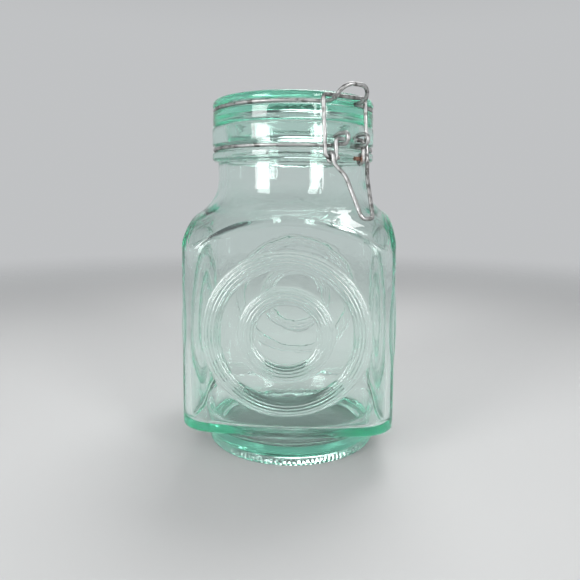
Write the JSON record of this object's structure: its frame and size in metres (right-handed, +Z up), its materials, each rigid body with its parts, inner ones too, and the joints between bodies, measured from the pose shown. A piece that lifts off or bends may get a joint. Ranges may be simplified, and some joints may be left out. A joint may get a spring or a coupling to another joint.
{
  "type": "storage jar",
  "caption": "Square clear glass storage jar with a round foot, raised ring relief on each side and a hinged glass lid held shut by a wire bail clasp.",
  "frame": {"origin": "centre of the foot, on the surface that the jar stands on", "axes": "+Z up along the neck's axis, -Y towards the front flat side; the clasp faces 36 degrees from -Y towards +X and the hinge is opposite it"},
  "size_m": [0.1286, 0.1286, 0.2209],
  "materials": {
    "jar_glass": "clear moulded glass with a pale green tint, stippled at the foot",
    "lid_glass": "clear pressed glass with a pale green tint",
    "wire": "dull galvanised wire, tarnished and a little rusty"
  },
  "bodies": {
    "jar": {"jar_glass": "jar_glass", "neck_wire": "wire"},
    "lid": {"lid_glass": "lid_glass", "lid_wire": "wire"},
    "lever": {"lever": "wire"},
    "link": {"link": "wire"}
  },
  "joints": [
    {"name": "lid_hinge", "type": "hinge", "parent": "jar", "child": "lid", "pos_m": [-0.03362, 0.04628, 0.2006], "axis": [-0.809, -0.5878, 0], "range_deg": [0, 110]},
    {"name": "lever_hinge", "type": "hinge", "parent": "jar", "child": "lever", "pos_m": [0.0338, -0.04652, 0.19155], "axis": [-0.809, -0.5878, 0], "range_deg": [0, 120]},
    {"name": "link_hinge", "type": "hinge", "parent": "lever", "child": "link", "pos_m": [0.03255, -0.0448, 0.18157], "axis": [-0.809, -0.5878, 0], "range_deg": [-100, 0]}
  ],
  "couplings": [
    {"joint": "link_hinge", "follows": "lever_hinge", "ratio": -0.8}
  ]
}
